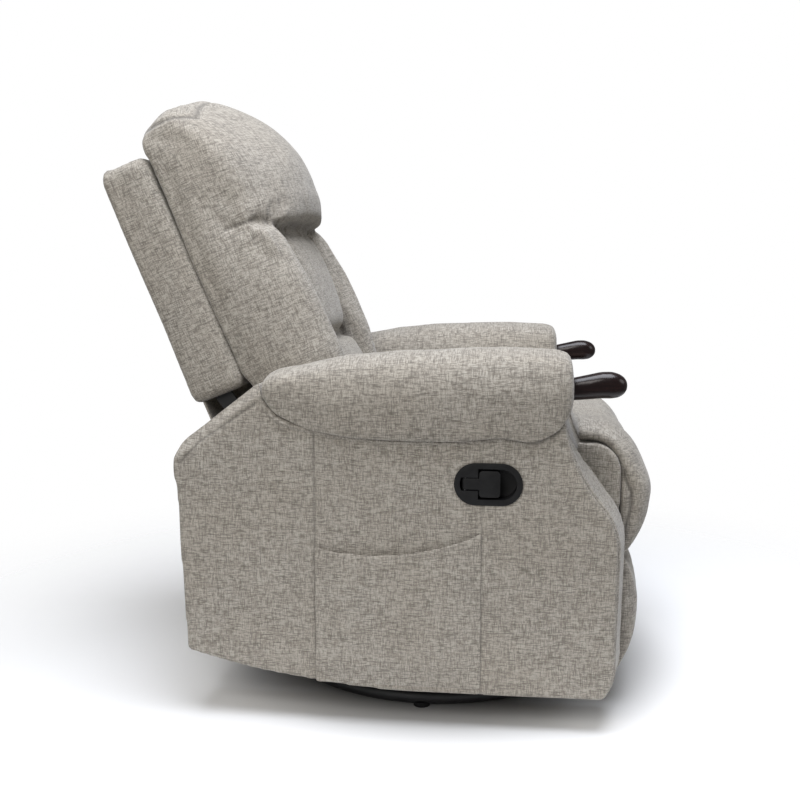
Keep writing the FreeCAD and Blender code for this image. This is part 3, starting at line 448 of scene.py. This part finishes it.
def give_finish(piece, slot, *nodes):
    """Gives a piece its finish, in place of the frame's nodes."""
    piece.data.materials.clear()
    piece.data.materials.append(FINISHES[slot])
    piece.data.polygons.foreach_set("use_smooth", [True] * len(piece.data.polygons))
    piece.data.update()
    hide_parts(*nodes)
    return piece


def dress(piece, body, slot, *nodes):
    """Gives a piece its finish and the body that it rides on."""
    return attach(give_finish(piece, slot, *nodes), body)


# side panels, strips and pocket

HAND = {-1: "right", 1: "left"}
ARM_INNER, ARM_OUTER = 262 * mm, 370 * mm
PANEL_FRONT, PANEL_DEPTH = -315 * mm, 705 * mm
UNDER_PAD_MIDDLE, UNDER_PAD_HALF, UNDER_PAD_HEIGHT = 35 * mm, 225 * mm, 450 * mm
# upright seams beside the pocket, as (backward, up)
POCKET_REAR, POCKET_FRONT = 165 * mm, -101 * mm
REAR_SEAM = [(POCKET_REAR, 480 * mm), (POCKET_REAR, 70 * mm)]
FRONT_SEAM = [(POCKET_FRONT, 480 * mm), (POCKET_FRONT, 60 * mm)]
# seam along the arm's sloping rear edge, as (backward, up), and the way that the slope faces
SLOPE_SEAM = [(385 * mm, 427 * mm), (351 * mm, 464 * mm), (259 * mm, 525 * mm)]
SLOPE_FACING = np.array((0.614, 0.789))
SLOPE_FRONT = 235 * mm


def turn_in(piece, margin):
    """Draws the cloth in behind the slope seam, so that it faces upwards there."""
    places = points(piece)
    above = (places[:, 1:] - np.array(SLOPE_SEAM[0])) @ SLOPE_FACING
    reach = ARM_OUTER + 2 * mm - margin - 17 * mm * ease(above, 3 * mm, 27 * mm)
    kept = np.minimum(np.abs(places[:, 0]), reach)
    places[:, 0] = np.where(places[:, 1] > SLOPE_FRONT, np.sign(places[:, 0]) * kept, places[:, 0])
    move_to(piece, places)


def side_panel(side):
    """Cloth pulled over the flat outer side of an arm."""
    node = f"outer_arm_panel_{HAND[side]}"
    panel = remesh(cad_copy(f"side_panel_{HAND[side]}", node), 4 * mm)
    relax(panel, 8)
    refine(panel)
    places, facing = points(panel), normals(panel)
    outside = np.clip(facing[:, 0] * side, 0, 1)
    bulge = np.sin(np.pi * np.clip((places[:, 1] - PANEL_FRONT) / PANEL_DEPTH, 0, 1)) ** 0.5
    # the edge under the pad reaches up into it, so that no gap shows
    along_pad = np.abs(places[:, 1] - UNDER_PAD_MIDDLE) < UNDER_PAD_HALF
    under_pad = (facing[:, 2] > 0.2) & along_pad & (places[:, 2] > UNDER_PAD_HEIGHT)
    push(panel, outside * 2.5 * mm * bulge + under_pad * 6 * mm)
    ruffle(panel, 1.1 * mm, 110 * mm, layer=side)
    turn_in(panel, 0)
    flat = points(panel)[:, 1:]
    inside = np.where(outside > 0.4, 0, 1)
    sew(panel, span_to(flat, SLOPE_SEAM) + inside, 2.5 * mm, 4.5 * mm, dark=0.8)
    if side < 0:
        sew(panel, span_to(flat, REAR_SEAM) + inside, 2 * mm, 4.5 * mm, dark=0.6)
        sew(panel, span_to(flat, FRONT_SEAM) + inside, 1.4 * mm, 4 * mm, dark=0.35)
    map_weave(panel, shift=(side, 0.3))
    return dress(panel, "chassis", "woven_cloth", node)


def cloth_over(name, body, *nodes, voxel=5 * mm, fill=0.9, shift=(0, 0), leaning=False,
               lean_forward=0, grow=0):
    """Firm cloth-covered piece with softened edges; its inner front edge may lean forward."""
    piece = remesh(cad_copy(name, *nodes), voxel)
    relax(piece, 3)
    if lean_forward:
        places = points(piece)
        inward = np.clip((ARM_OUTER - np.abs(places[:, 0])) / (ARM_OUTER - ARM_INNER), 0, 1)
        places[:, 1] -= lean_forward * inward * ease(-places[:, 1], 220 * mm, 270 * mm)
        move_to(piece, places)
    push(piece, np.full(len(piece.data.vertices), grow))
    ruffle(piece, 0.9 * mm, 80 * mm, layer=len(name))
    map_weave(piece, leaning, shift)
    return dress(piece, body, "woven_cloth", *nodes)


def pocket():
    """Stitched pouch: flush where it is sewn down, fuller in the middle, open along its sagging top."""
    pouch = remesh(cad_copy("pocket_pouch", "side_pocket"), 3 * mm)
    relax(pouch, 2)
    low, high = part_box("side_pocket")
    places = points(pouch)
    across = (places[:, 1] - low.y) / (high.y - low.y)
    up = (places[:, 2] - low.z) / (high.z - low.z)
    sewn = np.minimum(np.minimum(places[:, 1] - low.y, high.y - places[:, 1]), places[:, 2] - low.z)
    lifted = ease(sewn, 0, 40 * mm)
    places[:, 0] = -ARM_OUTER + (places[:, 0] + ARM_OUTER) * (0.36 + 0.64 * lifted)
    move_to(pouch, places)
    outside = np.clip(-normals(pouch)[:, 0], 0, 1)
    push(pouch, outside * 3 * mm * np.sin(np.pi * across) * np.sin(np.pi * np.clip(up, 0, 1)) ** 0.7)
    ruffle(pouch, 1.2 * mm, 70 * mm, layer=3)
    map_weave(pouch, shift=(0.6, 0.1))
    return dress(pouch, "chassis", "woven_cloth", "side_pocket")


# arms

PAD_MIDDLE = 555 * mm


def arm_pad(side):
    """Rolled pad on top of an arm, sewn down along its underside and its rear end."""
    node = f"arm_pad_{HAND[side]}"
    pad = remesh(cad_copy(f"arm_roll_{HAND[side]}", node), 6 * mm)
    relax(pad, 4)
    places = points(pad)
    low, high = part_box(node)
    rise = (places[:, 2] - low.z) / (high.z - low.z)
    held = np.maximum(1 - ease(rise, 0.12, 0.35), ease(places[:, 1], high.y - 60 * mm, high.y - 15 * mm))
    push(pad, -5 * mm * (1 - held))
    stuff(pad, held, 4, 24 * mm)
    refine(pad)
    places = points(pad)
    # the outer lip hangs over the panel, less and less towards the rear, and the front end is full
    forward, outward = -places[:, 1], places[:, 0] * side
    rise = (places[:, 2] - low.z) / (high.z - low.z)
    lip = ease(outward, 371 * mm, 382 * mm) * (1 - ease(rise, 0.2, 0.6))
    places[:, 2] -= lip * (14 * mm + 20 * mm * ease(forward, 120 * mm, 190 * mm))
    places[:, 1] -= 6 * mm * ease(forward, 180 * mm, 235 * mm)
    flush = 0.7 * (1 - ease(forward, -250 * mm, -120 * mm)) * (1 - ease(rise, 0.3, 0.8))
    places[:, 0] -= side * flush * np.maximum(0, outward - ARM_OUTER - 3 * mm)
    move_to(pad, places)
    mid_rise = hump(places[:, 2] - PAD_MIDDLE, 60 * mm)
    ruffle(pad, 1.3 * mm, 60 * mm, layer=side)
    ruffle(pad, 1.4 * mm, 26 * mm, layer=side + 5, stretch=(1, 0.25, 1), share=mid_rise)
    map_weave(pad, shift=(0.2 * side, 0.7))
    return dress(pad, "chassis", "woven_cloth", node)


def knuckle(side):
    """Glossy wooden thumb grip in front of a pad."""
    node = f"arm_knuckle_{HAND[side]}"
    grip = remesh(cad_copy(f"wooden_grip_{HAND[side]}", node), 2.5 * mm)
    relax(grip, 6)
    return dress(grip, "chassis", "polished_wood", node)


# seat


def seat_pad():
    """Cushion of the seat, held down all round its lower edge."""
    pad = remesh(cad_copy("seat_pad", "seat_cushion"), 6 * mm)
    relax(pad, 4)
    push(pad, np.full(len(pad.data.vertices), -4 * mm))
    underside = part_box("seat_cushion")[0].z
    seated = (points(pad)[:, 2] < underside + 20 * mm) * 1.0
    stuff(pad, seated, 3, 13 * mm)
    refine(pad)
    ruffle(pad, 1.5 * mm, 90 * mm, layer=4)
    map_weave(pad, shift=(0.4, 0.4))
    return dress(pad, "seat", "woven_cloth", "seat_cushion")


# where the roll is fullest, as (backward, up)
ROLL_BROW = (-338 * mm, 446 * mm)
# seam round the roll's ends, a little in from its outer edge, as (backward, up)
ROLL_SEAM = [(-250 * mm, 452 * mm), (-290 * mm, 445 * mm), (-326 * mm, 402 * mm), (-345 * mm, 368 * mm),
             (-344 * mm, 338 * mm), (-336 * mm, 308 * mm), (-319 * mm, 268 * mm)]


def front_roll():
    """Soft roll over the seat's front edge, with a sewn edge round both ends."""
    roll = remesh(cad_copy("seat_nose_roll", "seat_front_roll"), 6 * mm)
    relax(roll, 4)
    held = (normals(roll)[:, 1] > 0.5) * 1.0
    push(roll, -3 * mm * (1 - held))
    stuff(roll, held, 3, 14 * mm)
    refine(roll)
    places = points(roll)
    from_brow = np.linalg.norm(places[:, 1:] - np.array(ROLL_BROW), axis=1)
    middle = 1 - ease(np.abs(places[:, 0]), 170 * mm, 250 * mm)
    push(roll, 9 * mm * hump(from_brow, 48 * mm) * middle)
    relax(roll, 12)
    ruffle(roll, 1.2 * mm, 70 * mm, layer=6)
    ends = np.where(np.abs(normals(roll)[:, 0]) > 0.35, 0, 1)
    sew(roll, span_to(points(roll)[:, 1:], ROLL_SEAM) + ends, 7 * mm, 6 * mm, dark=0.9)
    map_weave(roll, shift=(0.9, 0.2))
    return dress(roll, "seat", "woven_cloth", "seat_front_roll")


def footrest_cushion():
    """Pad of the footrest, held down on its board."""
    pad = remesh(cad_copy("footrest_cushion", "footrest_pad"), 5 * mm)
    relax(pad, 3)
    seated = (normals(pad)[:, 1] > 0.5) * 1.0
    stuff(pad, seated, 3, 12 * mm)
    refine(pad)
    ruffle(pad, 1.0 * mm, 70 * mm, layer=8)
    map_weave(pad, shift=(0.1, 0.9))
    return dress(pad, "footrest", "woven_cloth", "footrest_pad")


# back

CREASE = 229 * mm  # where the headrest meets the bolsters, up the back
BOLSTER_INNER = 136 * mm
LUMBAR_SPLIT = 22 * mm
# the side gusset's top seam on the headrest, and the short dart at its lower front, as (up, out)
GUSSET_SEAM = [(440 * mm, 42 * mm), (456 * mm, 60 * mm), (458 * mm, 108 * mm), (450 * mm, 138 * mm)]
DART_UP = 252
DART = [(DART_UP * mm, 118 * mm), (DART_UP * mm, 170 * mm)]
# seam over the headrest's top: how far it lies out of the back, and how far down it runs
TOP_SEAM, TOP_SEAM_FOOT = 138 * mm, 445 * mm
# outer and inner sides of the filling wedges, across the back in millimetres
WEDGE_OUTER, WEDGE_INNER = 250, 168
BACK_NODES = ("headrest_pillow", "back_bolster_left", "back_bolster_right",
              "lumbar_pad_upper", "lumbar_pad_lower")


def fill_sides(cushion):
    """Adds a wedge of filling on both sides, where one cloth runs from the headrest onto the bolster."""
    shape = bmesh.new()
    shape.from_mesh(cushion.data)
    outer = [(190, 44), (300, 44), (300, 140), (284, 151), (DART_UP, 158), (190, 181)]
    inner = [(190, 44), (236, 44), (236, 138), (226, 160), (190, 178)]
    for side in (-1, 1):
        corners = []
        for x, rim in ((side * WEDGE_OUTER, outer), (side * WEDGE_INNER, inner)):
            for up, out in rim:
                away = np.array((x, 0, 0)) + up * UP_THE_BACK + out * OUT_OF_BACK
                corners.append(shape.verts.new(BACK_FOOT + away * mm))
        bmesh.ops.convex_hull(shape, input=corners)
    shape.to_mesh(cushion.data)
    shape.free()


def back_cushion():
    """One cover over headrest, side bolsters and lumbar pads, sewn down between them."""
    cushion = cad_copy("back_cushion", *BACK_NODES)
    fill_sides(cushion)
    remesh(cushion, 7 * mm)
    relax(cushion, 4)
    chart = chart_back(points(cushion))
    held = 1 - ease(chart[:, 2], 52 * mm, 66 * mm)
    push(cushion, -5 * mm * (1 - held))
    stuff(cushion, held, 3, 12 * mm)
    refine(cushion)
    chart = chart_back(points(cushion))
    facing = normals(cushion)
    across, up, out = np.abs(chart[:, 0]), chart[:, 1], chart[:, 2]
    front = ease(facing @ OUT_OF_BACK, 0.1, 0.45)
    sides = np.where(np.abs(facing[:, 0]) > 0.5, 0, 1)
    near_crease = hump(up - CREASE, 70 * mm)
    # the headrest's top swells back over the slab, and the lower biscuit hangs down to the seat
    behind = ease(up, 400 * mm, 455 * mm) * (1 - ease(out, 45 * mm, 110 * mm))
    hanging = (1 - ease(up, -60 * mm, 0)) * (1 - ease(across, 120 * mm, 140 * mm))
    # the bolsters' tops stand out further at their outer edges, and the headrest's lower edge is full
    below_crease = ease(up, 20 * mm, 150 * mm) * (1 - ease(up, CREASE - 5 * mm, CREASE + 20 * mm))
    bolster_top = below_crease * ease(out, 95 * mm, 140 * mm) * ease(across, 130 * mm, 150 * mm)
    wing = bolster_top * (29 * mm * ease(across, 150 * mm, 240 * mm) - 9 * mm)
    lower_edge = hump(up - CREASE - 8 * mm, 18 * mm) * ease(out, 115 * mm, 145 * mm)
    middle = 1 - ease(across, 150 * mm, 200 * mm)
    outwards = wing + 8 * mm * lower_edge * middle - 10 * mm * behind
    shift = outwards[:, None] * OUT_OF_BACK - 10 * mm * hanging[:, None] * UP_THE_BACK
    move_to(cushion, points(cushion) + shift)
    ruffle(cushion, 1.6 * mm, 90 * mm, layer=10)
    ruffle(cushion, 2.6 * mm, 30 * mm, layer=14, stretch=(1, 0.3, 0.3), share=near_crease * front)
    below = np.where((up < CREASE) & (out > 95 * mm), 0, 1)
    # the crease under the headrest climbs to the dart at the sides
    crease = CREASE + (DART_UP * mm - CREASE) * ease(across, 150 * mm, 235 * mm)
    tucked = ease(out, 130 * mm, 152 * mm) * (1 - ease(np.abs(facing[:, 0]), 0.3, 0.8))
    sew(cushion, np.abs(up - crease), 7 * mm, 7 * mm, dark=0.7, shade_width=4 * mm, share=tucked)
    sew(cushion, np.abs(across - BOLSTER_INNER) + below, 10 * mm, 9 * mm, dark=0.7)
    sew(cushion, np.abs(up - LUMBAR_SPLIT) + below + (across > BOLSTER_INNER), 9 * mm, 9 * mm, dark=0.7)
    flat = chart[:, 1:]
    gusset = span_to(flat, GUSSET_SEAM) + (np.abs(facing[:, 0]) < 0.2)
    over_top = np.abs(out - TOP_SEAM) + (up < TOP_SEAM_FOOT)
    for gaps in (gusset, over_top):
        sew(cushion, gaps, 2.5 * mm, 4 * mm, dark=0.9, shade_width=3 * mm)
    sew(cushion, span_to(flat, DART) + sides, 3 * mm, 4 * mm, dark=0.9)
    map_weave(cushion, leaning=True, shift=(0.3, 0.5))
    return dress(cushion, "back", "woven_cloth", *BACK_NODES)


def back_slab():
    """Flat back of the chair, a little fuller towards the top of its rear."""
    slab = cloth_over("back_slab", "back", "outer_back_panel", voxel=6 * mm, shift=(0.2, 0.8),
                      leaning=True, grow=2 * mm)
    rearward = ease(-(normals(slab) @ OUT_OF_BACK), 0.1, 0.7)
    push(slab, 8 * mm * rearward * ease(chart_back(points(slab))[:, 1], 50 * mm, 400 * mm))


# handle

HANDLE_RISE = 404.5 * mm
SHARP = math.radians(40)


def is_paddle_corner(edge):
    """Edge through the lever's thickness at one of its paddle's four corners."""
    first, second = (vert.co for vert in edge.verts)
    through = abs(first.x - second.x) > 0.9 * edge.calc_length()
    return through and abs(first.z - HANDLE_RISE) > 15 * mm and edge.calc_face_angle() > SHARP


def round_edges(shape, edges, offset, segments, clamp=False):
    bmesh.ops.bevel(shape, geom=edges, offset=offset, affect="EDGES", segments=segments, profile=0.5,
                    material=-1, clamp_overlap=clamp)


def moulded(name, body, node, rounding, corner=0):
    """Hard moulding with its sharp edges rounded."""
    piece = cad_copy(name, node)
    shape = bmesh.new()
    shape.from_mesh(piece.data)
    bmesh.ops.dissolve_limit(shape, angle_limit=math.radians(2), verts=shape.verts, edges=shape.edges)
    if corner:
        upright = [edge for edge in shape.edges if edge.is_manifold and is_paddle_corner(edge)]
        round_edges(shape, upright, corner, 6)
    sharp = [edge for edge in shape.edges if edge.is_manifold and edge.calc_face_angle() > SHARP]
    round_edges(shape, sharp, rounding, 3, clamp=True)
    bmesh.ops.triangulate(shape, faces=[face for face in shape.faces if len(face.verts) > 4])
    shape.to_mesh(piece.data)
    shape.free()
    return dress(piece, body, "black_plastic", node)


# springs of the rocker

SPRING_SIDE, SPRING_REACH = 45 * mm, 78 * mm
COIL_RADIUS, WIRE_RADIUS = 14 * mm, 2.5 * mm
COIL_TURNS, STEPS_PER_TURN = 5, 24


def coil_springs():
    """Four coils that stand on the turntable under the rocking chassis."""
    low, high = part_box("rocker_springs")
    steps = COIL_TURNS * STEPS_PER_TURN
    climb = (high.z - low.z - 2 * WIRE_RADIUS) / steps
    upright = Matrix.Rotation(math.pi / 2, 3, "X")
    shape = bmesh.new()
    for x in (-SPRING_SIDE, SPRING_SIDE):
        for y in (-SPRING_REACH, SPRING_REACH):
            wire = bmesh.ops.create_circle(shape, segments=10, radius=WIRE_RADIUS)["verts"]
            bmesh.ops.rotate(shape, verts=wire, matrix=upright)
            bmesh.ops.translate(shape, verts=wire, vec=(x + COIL_RADIUS, y, low.z + WIRE_RADIUS))
            rim = list({edge for vert in wire for edge in vert.link_edges})
            bmesh.ops.spin(shape, geom=wire + rim, cent=(x, y, 0), axis=(0, 0, 1), dvec=(0, 0, climb),
                           angle=2 * math.pi * COIL_TURNS, steps=steps)
    bmesh.ops.holes_fill(shape, edges=[edge for edge in shape.edges if edge.is_boundary])
    bmesh.ops.recalc_face_normals(shape, faces=shape.faces)
    springs = give_finish(new_piece("coil_springs", shape), "bright_steel", "rocker_springs")
    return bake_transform(springs)


# all pieces

STRIP_LEAN = 20 * mm
coil_springs()
side_panel(1)
side_panel(-1)
cloth_over("inner_arm_cloth", "chassis", "inner_arm_panels", voxel=6 * mm, lean_forward=STRIP_LEAN)
cloth_over("front_strip_cloth", "chassis", "arm_front_strips", voxel=4 * mm, shift=(0.5, 0.2),
           lean_forward=STRIP_LEAN)
rear_strips = cloth_over("rear_strip_cloth", "chassis", "arm_rear_strips", voxel=4 * mm, shift=(0.7, 0.6))
turn_in(rear_strips, 2 * mm)
cloth_over("rear_valance_cloth", "chassis", "rear_valance", voxel=5 * mm, shift=(0.1, 0.6))
pocket()
for side in (-1, 1):
    arm_pad(side)
    knuckle(side)
cloth_over("seat_front_cloth", "seat", "seat_box", "seat_fascia", voxel=5 * mm, shift=(0.8, 0.3))
seat_pad()
front_roll()
footrest_cushion()
back_cushion()
back_slab()
cloth_over("back_skirt_cloth", "back", "back_skirt", voxel=1.5 * mm, fill=0.1, shift=(0.6, 0.8),
           leaning=True)
moulded("handle_surround", "chassis", "handle_bezel", 1.2 * mm)
moulded("handle_lever", "lever", "release_lever", 1.2 * mm, corner=6 * mm)

SLOT_OF = {row["node"]: row["material_slot"] for row in frame["record"]["subparts"]}
for name, solid in frame["nodes"].items():
    if not solid.hide_render:
        solid.data.materials.clear()
        solid.data.materials.append(FINISHES[SLOT_OF[name]])

# floor, light and camera

world = bpy.data.worlds.new("studio")
world.use_nodes = True
scene.world = world
sky = world.node_tree.nodes["Background"]
# the camera sees plain white; what falls on the chair is dimmer
seen = Wire(world.node_tree).add("LightPath", out="Is Camera Ray")
world.node_tree.links.new((seen * 0.78 + 0.22).socket, sky.inputs["Strength"])
sky.inputs["Color"].default_value = rgb(1, 1, 1)


def floor():
    """Pale floor with a painted contact shadow under the base, fading into the white background away from
    the chair.
    """
    shape = bmesh.new()
    bmesh.ops.create_circle(shape, cap_ends=True, segments=64, radius=4)
    ground = new_piece("floor", shape)
    material, start, shader = new_finish("pale_floor_painted_shadow", 0.9)
    place = start.add("TexCoord", out="Object")
    away = start.add("VectorMath", {"operation": "LENGTH"}, {0: place}, out="Value")
    # painted contact shadow: the floor's colour is darker under the base, where the chair stands close
    # over it
    plug(away.step(0.26, 0.48).mix(rgb(0.3, 0.3, 0.3), rgb(0.93, 0.93, 0.93)), shader, "Base Color")
    solid = Wire(start.tree, shader.outputs[0])
    clear = start.add("BsdfTransparent")
    faded = start.add("MixShader", None, {0: away.step(0.5, 1.4), 1: solid, 2: clear})
    start.tree.links.new(faded.socket, start.tree.nodes["Material Output"].inputs["Surface"])
    ground.data.materials.append(material)


floor()


def softbox(name, place, aim, width, power, colour=(1, 1, 1)):
    light = bpy.data.lights.new(name, "AREA")
    light.shape = "DISK"
    light.size = width
    light.energy = power
    light.color = colour
    lamp = bpy.data.objects.new(name, light)
    lamp.location = place
    lamp.rotation_euler = (Vector(aim) - Vector(place)).to_track_quat("-Z", "Y").to_euler()
    scene.collection.objects.link(lamp)


softbox("overhead", (-0.5, -0.15, 2.9), (0, 0, 0.4), 2.2, 90, (0.955, 0.988, 1.06))
softbox("camera_side", (-2.6, 0.9, 2.0), (0, 0, 0.5), 1.8, 46, (1.02, 1, 0.96))
softbox("front", (-0.9, -2.6, 1.7), (0, 0, 0.5), 1.6, 14)

# place of the camera and the way that it looks, fitted to the photograph
EYE = (-1.8992, -0.1453, 0.7494)
GAZE = (0.98413, 0.11148, -0.13805)
lens = bpy.data.cameras.new("camera")
lens.lens = 45
lens.sensor_width = 36
viewer = bpy.data.objects.new("camera", lens)
viewer.location = EYE
viewer.rotation_euler = Vector(GAZE).to_track_quat("-Z", "Y").to_euler()
scene.collection.objects.link(viewer)
scene.camera = viewer
scene.view_settings.view_transform = "Standard"
